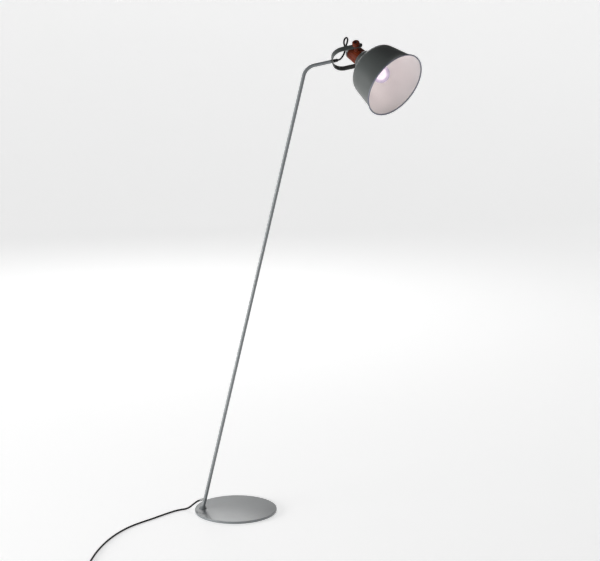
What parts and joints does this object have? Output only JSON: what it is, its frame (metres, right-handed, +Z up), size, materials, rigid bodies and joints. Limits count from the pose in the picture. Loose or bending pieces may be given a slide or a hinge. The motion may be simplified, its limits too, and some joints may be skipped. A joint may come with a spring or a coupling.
{
  "type": "floor lamp",
  "caption": "Slim floor lamp: round base plate, leaning tube bent into a short arm, swivelling strap yoke, turned wooden neck and knob, and a tilting metal bell shade.",
  "frame": {"origin": "centre of the base's underside, on the floor", "axes": "+Z up, +X from the base's centre towards the shade in the plane of the pole and arm, -Y towards the side that the shade opens to at rest"},
  "size_m": [1.0691, 0.8754, 1.6046],
  "materials": {
    "grey_paint": "satin grey powder paint with a faint green tint, on steel",
    "shade_paint": "the same satin grey paint on spun aluminium, white inside the shade",
    "wood": "oiled reddish-brown hardwood, turned",
    "steel": "zinc-plated steel",
    "brass": "plain turned brass",
    "bulb_metal": "bright screw cap",
    "opal_glass": "opal white glass, lit warm",
    "black_plastic": "matt black",
    "cord_rubber": "black sheath, slightly shiny",
    "base_rubber": "matt black foam rubber",
    "tie_fabric": "black woven strap"
  },
  "bodies": {
    "stand": {"base_pad": "base_rubber", "base_plate": "grey_paint", "foot_bolt": "steel", "foot_collar": "grey_paint", "pole": "grey_paint", "cord_outlet": "grey_paint", "pole_lead": "cord_rubber", "arm_stub": "brass", "swivel_washer_rear": "black_plastic", "swivel_washer_front": "steel", "arm_nut": "black_plastic", "mains_cord": "cord_rubber", "cord_tail": "cord_rubber", "cord_coil": "cord_rubber", "cord_tie": "tie_fabric", "plug_lead": "cord_rubber", "plug_body": "black_plastic", "plug_pin_left": "brass", "plug_pin_right": "brass", "switch_base": "black_plastic", "switch_cover": "black_plastic"},
    "yoke": {"yoke": "grey_paint", "pivot_bolt": "steel", "knob_washer": "steel", "head_lead": "cord_rubber"},
    "knob": {"tilt_knob": "wood", "knob_insert": "brass"},
    "head": {"wood_neck": "wood", "neck_spacer_upper": "wood", "neck_spacer_lower": "wood", "neck_end_cap": "shade_paint", "lead_grommet": "black_plastic", "shade_collar": "shade_paint", "shade": "shade_paint", "holder_nipple": "brass", "nipple_nut": "steel", "lampholder": "black_plastic", "holder_sleeve": "brass", "holder_ring": "black_plastic", "bulb_cap": "bulb_metal", "bulb_glass": "opal_glass"},
    "rocker": {"switch_rocker": "black_plastic"}
  },
  "joints": [
    {"name": "arm_swivel", "type": "hinge", "parent": "stand", "child": "yoke", "pos_m": [0.32505, 0, 1.52692], "axis": [0.9767, 0, 0.2147], "range_deg": [-133, 46]},
    {"name": "head_tilt", "type": "hinge", "parent": "yoke", "child": "head", "pos_m": [0.40806, 0, 1.54517], "axis": [-0.1555, -0.6896, 0.7073], "range_deg": [-28, 149], "deforming": ["head_lead"]},
    {"name": "knob_turn", "type": "hinge", "parent": "yoke", "child": "knob", "pos_m": [0.40806, 0, 1.54517], "axis": [-0.1555, -0.6896, 0.7073], "range_deg": [0, 180]},
    {"name": "rocker_press", "type": "hinge", "parent": "stand", "child": "rocker", "pos_m": [-0.445, -0.594, 0.0137], "axis": [1, 0, 0], "range_deg": [-14, 0]}
  ]
}
